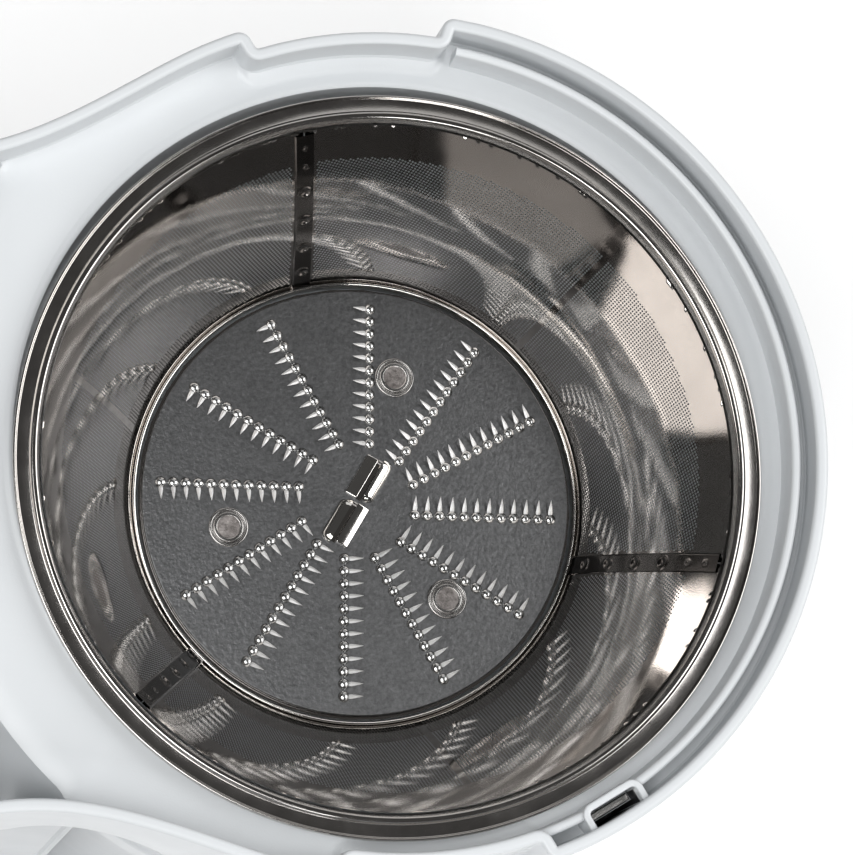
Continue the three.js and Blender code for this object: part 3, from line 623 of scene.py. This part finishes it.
def sieve_panel(index, pitch=0.68, hole=0.235):
    """One third of the sieve: a flat sheet with a square grid of real holes, rolled into the cone."""
    half = rad(59.9) * CONE_SIN
    top = FLAT_R0 + CONE_L
    nu = int(top * math.sin(half) / pitch) + 1
    v0 = FLAT_R0 * math.cos(half) - pitch
    nv = int((top - v0) / pitch) + 2

    def place(u, v):
        reach = np.clip(np.hypot(u, v), FLAT_R0, top)
        turn = np.clip(np.arctan2(u, v), -half, half)
        return on_cone(reach, turn + rad(SEAM_DEG + 120 * index + 60) * CONE_SIN)

    gu = (np.arange(-2 * nu, 2 * nu + 1)) * pitch / 2
    gv = v0 + np.arange(2 * nv + 1) * pitch / 2
    grid_u, grid_v = np.meshgrid(gu, gv, indexing="ij")
    grid = place(grid_u, grid_v).reshape(-1, 3)
    width = len(gv)
    ci, cj = np.meshgrid(np.arange(2 * nu), np.arange(nv), indexing="ij")
    ci, cj = ci.ravel(), cj.ravel()
    cu, cv = gu[2 * ci + 1], gv[2 * cj + 1]
    reach, turn = np.hypot(cu, cv), np.arctan2(cu, cv)
    slack = pitch * 0.75
    inside = (reach > FLAT_R0 - slack) & (reach < top + slack) & (np.abs(turn) < half + slack / reach)
    pierced = (reach > FLAT_R0 + 3.5) & (reach < top - 8.6) & (np.abs(cu) > 0.7)
    pierced &= (half - np.abs(turn)) * reach > 2.5
    steps_u, steps_v = (1, 2, 2, 2, 1, 0, 0, 0), (0, 0, 1, 2, 2, 2, 1, 0)

    def corner(i, j, k):
        return (2 * i + steps_u[k]) * width + 2 * j + steps_v[k]

    plain = inside & ~pierced
    quads = [np.stack([corner(ci[plain], cj[plain], k) for k in (7, 1, 3, 5)], 1)]
    hi, hj = ci[pierced], cj[pierced]
    turns = [rad(-90 + 45 * k) for k in range(8)]
    mid_u, mid_v = gu[2 * hi + 1], gv[2 * hj + 1]
    rim = [place(mid_u + hole * math.cos(t), mid_v + hole * math.sin(t)) for t in turns]
    base = len(grid)
    count = len(hi)
    verts = np.concatenate([grid, *rim])
    number = np.arange(count)
    for k in range(8):
        n = (k + 1) % 8
        inner = [base + n * count + number, base + k * count + number]
        quads.append(np.stack([corner(hi, hj, k), corner(hi, hj, n), *inner], 1))
    faces = np.concatenate(quads)
    used, remap = np.unique(faces, return_inverse=True)
    faces = remap.reshape(faces.shape)
    piece = make(f"sieve_panel_{index + 1}", verts[used], faces.tolist(), origin=SPIN, smooth=0, flip=True)
    dress(piece, "basket", "mirror_steel", SIEVE, stands_for=[f"mesh_panel_{index + 1}"])


def seam_strip(index):
    """The lapped edge of a panel, held by a column of spot welds."""
    width, lap = 4.2, 0.3
    side = width / 2
    across = np.concatenate([[-side, -side + 0.12], np.linspace(-side + 0.3, side - 0.3, 19), [side]])
    along = np.linspace(0.2, CONE_L - 0.6, 210)
    w, s = np.meshgrid(across, along, indexing="ij")
    lift = np.where(np.abs(w) > side - 0.01, 0.02, lap)
    welds = ((7.2, 1), (15.4, 1), (24.4, 1), (32.8, 1), (40.3, 0.45), (45.2, 0.45), (1.2, 0.4))
    for spot, size in welds:
        d = np.hypot(w + 0.15, s - spot) / size
        lift += size * (0.16 * np.exp(-((d - 1.25) / 0.28) ** 2) - 0.26 * np.exp(-((d / 0.75) ** 2)))
    reach = FLAT_R0 + s
    points = on_cone(reach, w / reach + rad(SEAM_DEG + 120 * index) * CONE_SIN, lift)
    n, m = points.shape[:2]
    idx = np.arange(n * m).reshape(n, m)
    faces = np.stack([idx[:-1, :-1], idx[:-1, 1:], idx[1:, 1:], idx[1:, :-1]], -1).reshape(-1, 4)
    return points.reshape(-1, 3).tolist(), faces.tolist()


def build_sieve():
    for i in range(3):
        sieve_panel(i)
    strips = joined(*[seam_strip(i) for i in range(3)])
    seams = make("sieve_seams", *strips, origin=SPIN, smooth=50, flip=False)
    dress(seams, "basket", "mirror_steel", SEAM)
    z = RIM_Z
    rolled = fillet([
        (70.2, z - 3.2), (70.9, z - 0.9), (71.3, z), (72.3, z), (72.8, z - 0.6), (75.3, z - 0.75),
        (75.5, z - 0.1), (76.0, z - 0.15), (76.0, z - 2.1), (75.0, z - 2.4), (72.6, z - 2.0), (71.6, z - 3.4),
    ], [0.1, 0.5, 0.5, 0.5, 0.3, 0.2, 0.22, 0.3, 0.4, 0.4, 0.3, 0.3])
    rim = make("rolled_rim", *lathe(rolled, 360), origin=SPIN)
    dress(rim, "basket", "mirror_steel", RIM, stands_for=["basket_rim_ring"])
    z = DISC_Z
    ring = fillet([(46.75, z - 3.6), (51, z - 3.6), (51, z - 2.8), (47.35, z - 2.8), (47.35, z), (46.75, z)],
                  [0, 0, 0, 0.2, 0.28, 0.28])
    seat = make("disc_seat_ring", *lathe(ring, 300), origin=SPIN)
    dress(seat, "basket", "mirror_steel", CHROME, stands_for=["basket_lower_ring"])


# ---- grater disc ----
LOUVRE_DEG = -37
RIVET_DEG, RIVET_CIRCLE_R = 66.5, 28
ROWS, TEETH_IN_ROW = 12, 12
FIRST_TOOTH_R, TOOTH_PITCH = 12.4, 2.65


def blister():
    """The round blister behind one tooth."""
    verts, faces = [(0, -2.6, 0.74)], []
    rings = [(0.46, 0.7), (0.86, 0.52), (1.1, 0.26), (1.24, -0.02), (1.3, -0.08)]
    count = 16
    for r, z in rings:
        for k in range(count):
            a = TAU * k / count
            verts.append((r * math.cos(a), -2.6 + r * math.sin(a), z))
    for k in range(count):
        faces.append((0, 1 + k, 1 + (k + 1) % count))
        for j in range(len(rings) - 1):
            a, b = 1 + j * count, 1 + (j + 1) * count
            faces.append((a + k, b + k, b + (k + 1) % count, a + (k + 1) % count))
    return verts, faces


def burr():
    """The burr in front of a blister, drawn up to a point."""
    verts, faces = [], []
    spine = [
        (-1.6, 0.44, 0.36, 0.62), (-1.1, 0.47, 0.58, 0.82), (-0.3, 0.36, 0.95, 1.1), (0.5, 0.21, 1.32, 1.42),
        (1.25, 0.03, 1.72, 1.75),
    ]
    for y, half, low, high in spine:
        verts += [(-half, y, low - 0.1), (0, y + 0.02, high), (half, y, low - 0.1), (0, y - 0.12, low - 0.35)]
    for j in range(len(spine) - 1):
        a, b = 4 * j, 4 * (j + 1)
        for k in range(4):
            faces.append((a + k, a + (k + 1) % 4, b + (k + 1) % 4, b + k))
    faces.append((3, 2, 1, 0))
    faces.append(tuple(4 * (len(spine) - 1) + k for k in range(4)))
    return verts, faces


def tooth_rows(one):
    rows = [23 + 30 * k for k in range(ROWS)]
    rows[1] -= 3.7  # two rows stand aside to clear a rivet
    rows[6] += 4
    parts = []
    for row in rows:
        for i in range(TEETH_IN_ROW):
            r = FIRST_TOOTH_R + TOOTH_PITCH * i
            parts.append(moved(moved(one, dx=r), dz=DISC_Z, turn=row))
    return joined(*parts)


def louvre(turn):
    """Half of the disc's middle: a drawn hood with a round end, and the flat tongue beside its slot."""
    hood = []
    quarter = [math.pi / 20 * k for k in range(11)]
    for t in np.linspace(0, 1, 21):
        along = 0.6 + 9.0 * t
        close = math.sqrt(max(0, 1 - max(0, (t - 0.82) / 0.18) ** 2)) * min(1, 0.55 + t * 6)
        outside = [(2.1 * math.sin(a), 1.5 * math.cos(a), -0.05) for a in quarter]
        inside = [(1.8 * math.sin(a), 1.3 * math.cos(a), -0.3) for a in reversed(quarter)]
        hood.append([(0.55 + x * close, along, foot + z * close) for x, z, foot in outside + inside])

    def tilted(p):
        return (p[0], p[1], p[2] + 0.16 * (p[0] + 0.45))

    def grown(p):
        return (p[0] * 1.15, p[1] * 1.15, p[2])

    tongue = moved(block(-2.75, -0.45, 0.3, 8.6, -0.4, 0.95, 0.25, 0.12), lean=tilted)
    return moved(joined(loft(hood, caps=True), tongue), dz=DISC_Z, turn=turn, lean=grown)


def build_disc():
    z = DISC_Z
    plate = fillet([(0.01, z - 1.2), (45.5, z - 1.2), (45.5, z), (0.01, z)], [0, 0.2, 0.35, 0])
    disc = make("grater_plate", *lathe(plate, 240), origin=SPIN)
    slot = block(-0.55, 0.65, 0.3, 10.2, z - 3, z + 3, 0.2, 0.05)
    cut_by(disc, joined(moved(slot, turn=LOUVRE_DEG), moved(slot, turn=LOUVRE_DEG + 180)), origin=SPIN)
    dress(disc, "basket", "grater_steel", DISC, stands_for=["grater_disc"])
    blisters = make("tooth_blisters", *tooth_rows(blister()), origin=SPIN, smooth=50)
    dress(blisters, "basket", "grater_steel", TEETH)
    teeth = make("grater_teeth", *tooth_rows(burr()), origin=SPIN, smooth=42)
    dress(teeth, "basket", "grater_steel", BURR)
    hoods = make("disc_louvres", *joined(louvre(LOUVRE_DEG), louvre(LOUVRE_DEG + 180)), origin=SPIN)
    dress(hoods, "basket", "grater_steel", CHROME)
    profile = fillet([
        (0.01, z - 5.2), (3.4, z - 5.2), (3.4, z - 4.3), (2.4, z - 4.3), (2.4, z - 0.1), (4.2, z - 0.1),
        (4.2, z + 0.62), (3.65, z + 0.62), (3.5, z + 0.34), (3.3, z + 0.34), (3.1, z + 0.74),
        (2.5, z + 0.78), (2.3, z + 0.6), (0.01, z + 0.66),
    ], [0, 0.2, 0, 0, 0, 0.1, 0.3, 0.2, 0.08, 0.08, 0.2, 0.2, 0.2, 0])
    for i in range(3):
        a = rad(RIVET_DEG + 120 * i)
        spot = SPIN + Vector((RIVET_CIRCLE_R * math.cos(a), RIVET_CIRCLE_R * math.sin(a), 0)) * MM
        rivet = make(f"spun_rivet_{i + 1}", *lathe(profile, 48), origin=spot)
        dress(rivet, "basket", "fastener_steel", RIVET, RIVET_CORE, stands_for=[f"disc_rivet_{i + 1}"])
        for face in rivet.data.polygons:
            c = face.center
            if math.hypot(c.x - spot.x, c.y - spot.y) < 2.35 * MM and c.z > (z + 0.2) * MM:
                face.material_index = 1


# ---- motor base ----
def build_housing():
    outer = [(85, 7), (79, 18), (76, 40), (76, 106), (82.5, 138), (84.6, 147), (84.6, 158)]
    inner = [(r - 2.6, 155.4 if z == 158 else z) for r, z in outer]
    radii = [0, 1.8, 8, 14, 40, 30, 8, 0.4, 0.4, 6, 28, 38, 14, 8, 0.8, 0]
    profile = fillet([(9, 158)] + outer[::-1] + inner + [(9, 155.4)], radii)
    tower = lathe(profile)
    shelf_path = np.array(outline_path(notched=False))
    shelf_path = shelf_path + normals_of(shelf_path) * 4
    back = [tuple(p) for p in shelf_path if p[0] < -44]
    shelf = slab(back, 7, 11.2, 1.4)
    ears = []
    for side in (1, -1):
        for end in (1, -1):
            x = end * 20.4
            y0, y1 = sorted((side * 78, side * 93.2))
            ears.append(block(x - 1.8, x + 1.8, y0, y1, CLAMP_Z - 5, CLAMP_Z + 5, 0.9, 1.6))
    piece = make("motor_housing_skin", *joined(tower, shelf, *ears))
    window = moved(block(ROD_R - 2.7, ROD_R + 1.9, -4.9, 4.9, 149, 162, 0.5, 0.1), turn=POCKET_DEG)
    cut_by(piece, window)
    dress(piece, "base", "white_plastic", WHITE, stands_for=["motor_housing"])
    collar = fillet([(9, 157), (12, 157), (12, 161.4), (9, 161.4)], [0, 0, 0.8, 0.8])
    dress(make("seal_collar", *lathe(collar, 64), origin=SPIN), "base", "white_plastic", WHITE)


def build_container():
    path = np.array(outline_path(notched=False))
    outside = path + normals_of(path) * 3.4
    keep = [tuple(p) for p in outside if p[0] < -62 and math.hypot(*p) > 91.6]
    a0 = math.atan2(keep[-1][1], keep[-1][0]) % TAU
    a1 = math.atan2(keep[0][1], keep[0][0])
    arc = [(91 * math.cos(a), 91 * math.sin(a)) for a in np.linspace(a0 - 0.03, a1 + 0.03, 30)]
    keep = keep[1:-1]
    loop = np.array(fillet(keep + arc[1:-1], [3.2] + [0] * (len(keep) - 2) + [3.2] + [0] * 28, step=12))
    n = normals_of(loop)
    profile = [(0.9, 11.6), (0, 12.5), (0, 205), (2.2, 205), (2.2, 14)]
    sides = fillet(profile, [0, 0.5, 0.9, 0.9, 0], closed=False)
    rings = [[(x, y, z) for x, y in loop + n * d] for d, z in sides]
    piece = make("pulp_container_skin", *loft(rings, caps=True))
    dress(piece, "container", "container_plastic", PALE, stands_for=["pulp_container"])


def build_clamps():
    """Two lid clamps that hang open from their pins."""
    length = 103
    outline = [
        (-2.8, 0), (-2.8, length - 5), (-4.3, length - 4), (-4.3, length - 0.8), (-3.5, length), (0, length),
        (0.9, length - 6), (5, length - 7.5), (5.2, length - 9), (0.9, length - 11), (0.9, 0),
    ]
    rounded = fillet(outline, [0.2, 1, 0.8, 0.8, 0.8, 1.2, 1.5, 0.7, 0.7, 1.5, 0.2])
    area = sum(a[0] * b[1] - b[0] * a[1] for a, b in zip(rounded, rounded[1:] + rounded[:1]))
    if area < 0:
        rounded.reverse()
    leg = slab(rounded, -18, 18, 0.9, 4)
    pipe = fillet([(2.3, -18), (4.2, -18), (4.2, 18), (2.3, 18)], [0.2, 0.6, 0.6, 0.2])
    tube = lathe(pipe, 48)
    for name, side in (("back", 1), ("front", -1)):
        verts = []
        for v in joined(leg, tube)[0]:
            y, z, x = v
            verts.append((x * side, side * CLAMP_Y - side * y, CLAMP_Z - z))
        faces = joined(leg, tube)[1]
        piece = make(f"lid_clamp_{name}_skin", verts, faces)
        dress(piece, f"clamp_{name}", "grey_plastic", GREY, stands_for=[f"lid_clamp_{name}"])


def build_knob():
    """Round control with a grip bar and a pointer line."""
    z0 = middle("control_knob").z / MM
    dial = [(0.01, 77), (14.4, 77), (15, 79), (14.4, 82.4), (12, 83.2), (0.01, 83.2)]
    face = lathe(fillet(dial, [0, 0.4, 1.2, 1.2, 1.2, 0]), 96)
    stem = lathe(fillet([(0.01, 64.4), (3.6, 64.4), (3.6, 77.5), (0.01, 77.5)], [0, 0.5, 0, 0]), 32)
    grip = block(-3.5, 3.5, -13.3, 13.3, 82, 89.4, 3.2, 1.4)
    line = block(-0.5, 0.5, 5, 12, 89.2, 89.65, 0.4, 0.1)

    def outward(part):
        return moved(([(p[2], p[0], z0 + p[1]) for p in part[0]], part[1]), turn=-48)

    piece = make("control_dial", *joined(outward(face), outward(stem), outward(grip)))
    dress(piece, "knob", "grey_plastic", GREY, stands_for=["control_knob"])
    dress(make("dial_pointer", *outward(line)), "knob", "white_plastic", WHITE)


def build_small_parts():
    for i in range(4):
        lo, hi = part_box(f"rubber_foot_{i + 1}")
        spot = Vector(((lo.x + hi.x) / 2, (lo.y + hi.y) / 2, 0))
        foot = [(0.01, 0), (6.6, 0), (7.4, 3.7), (2.5, 3.7), (2.5, 6.2), (0.01, 6.2)]
        turned = lathe(fillet(foot, [0, 0.7, 0.4, 0, 0.4, 0]), 40)
        piece = make(f"foot_{i + 1}", *turned, origin=spot)
        dress(piece, "base", "rubber", RUBBER, stands_for=[f"rubber_foot_{i + 1}"])
    lo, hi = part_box("cord_gland")
    z = (lo.z + hi.z) / 2 / MM
    gland = [(3.4, 71), (5.1, 71), (5.1, 79.3), (8.4, 79.3), (8.4, 81.8), (5.2, 82), (4.6, 91), (3.4, 91)]
    body = lathe(fillet(gland, [0.2, 0.2, 0.1, 0.5, 0.8, 0.6, 0.6, 0.3]), 56)
    piece = make("cord_inlet", [(p[0], p[2], p[1] + z) for p in body[0]], body[1])
    dress(piece, "base", "rubber", RUBBER, stands_for=["cord_gland"])


def build_spring():
    """The plunger's coil spring; the plunger has 4 mm of travel."""
    lo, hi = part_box("plunger_spring")
    axis = Vector(((lo.x + hi.x) / 2, (lo.y + hi.y) / 2, 0))
    low, high, turns, wire, r = lo.z / MM + 0.45, hi.z / MM - 0.45, 5.5, 0.34, 2.35
    steps = 132
    rings = []
    for i in range(steps + 1):
        t = i / steps
        a = TAU * turns * t
        z = low + (high - low) * t
        loop = []
        for k in range(8):
            b = TAU * k / 8
            reach = r + wire * math.cos(b)
            loop.append((reach * math.cos(a), reach * math.sin(a), z + wire * math.sin(b)))
        rings.append(loop)
    piece = make("plunger_coil", *loft(rings, caps=True), origin=axis)
    dress(piece, "base", "fastener_steel", FASTENER, stands_for=["plunger_spring"])
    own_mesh(piece)


def dress_cad_nodes():
    """The hidden works keep their CAD shape: softened edges and a material of their own."""
    looks = {
        "base_plate": GREY, "base_screw": FASTENER, "speed_switch": BLACK, "microswitch": BLACK,
        "interlock_plunger": GREY, "clamp_pin": FASTENER, "motor_stator": IRON,
        "field_winding": COPPER, "bracket": IRON, "bearing": FASTENER, "mount_ring": RUBBER,
        "motor_bolt": FASTENER, "motor_shaft": FASTENER, "commutator": COPPER, "rotor_core": IRON,
        "cooling_fan": BLACK, "brush_holder": BLACK, "shaft_seal": RUBBER, "drive_coupling": BLACK,
        "basket_base": SIEVE, "basket_hub": BLACK,
    }
    for name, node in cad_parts.items():
        for stem, material in looks.items():
            if name.startswith(stem):
                node.data.materials.clear()
                node.data.materials.append(material)
                soft = node.modifiers.new("edges", "BEVEL")
                soft.width = 0.25 * MM
                soft.segments = 2
                soft.limit_method = "ANGLE"
                soft.angle_limit = rad(40)


# ---- floor and light ----
def build_stage():
    m = Nodes("studio_floor")
    tone = m.ramp(m.noise(1.3, 3), [(0.3, 0.95), (0.7, 0.98)])
    m.set(Base_Color=tone, Roughness=0.7, Specular_IOR_Level=0.1)
    verts = [(-4000, -4000, 0), (4000, -4000, 0), (4000, 4000, 0), (-4000, 4000, 0)]
    floor = make("studio_floor", verts, [(0, 1, 2, 3)], origin=Vector((0, 0, -0.0005)), smooth=0, flip=False)
    floor.data.materials.append(m.material)


def softbox(name, azimuth, elevation, distance, size, power, tall=None):
    """A rectangular light aimed at the basket. Azimuth is measured from +X towards +Y."""
    data = bpy.data.lights.new(name, "AREA")
    data.shape = "RECTANGLE"
    data.size, data.size_y = size, tall or size
    data.energy = power
    lamp = bpy.data.objects.new(name, data)
    bpy.context.scene.collection.objects.link(lamp)
    a, e = rad(azimuth), rad(elevation)
    away = Vector((math.cos(a) * math.cos(e), math.sin(a) * math.cos(e), math.sin(e)))
    lamp.location = RIM_CENTRE + away * distance
    lamp.rotation_mode = "QUATERNION"
    lamp.rotation_quaternion = away.to_track_quat("Z", "Y")


def build_light():
    world = bpy.data.worlds.new("studio")
    bpy.context.scene.world = world
    world.use_nodes = True
    world.node_tree.nodes["Background"].inputs["Color"].default_value = (1, 0.985, 0.97, 1)
    world.node_tree.nodes["Background"].inputs["Strength"].default_value = 0.06
    softbox("key", -5, 40, 1.8, 1.4, 28, tall=1.6)
    softbox("grey_card", 72, 38, 1.8, 1.35, 5, tall=1.5)
    softbox("overhead", 205, 62, 1.9, 1.3, 30)
    softbox("side", 265, 28, 1.9, 0.7, 12)


bpy.context.scene.view_settings.view_transform = "Standard"
build_collector()
build_rod()
build_sieve()
build_disc()
build_housing()
build_container()
build_clamps()
build_knob()
build_small_parts()
build_spring()
dress_cad_nodes()
build_stage()
build_light()
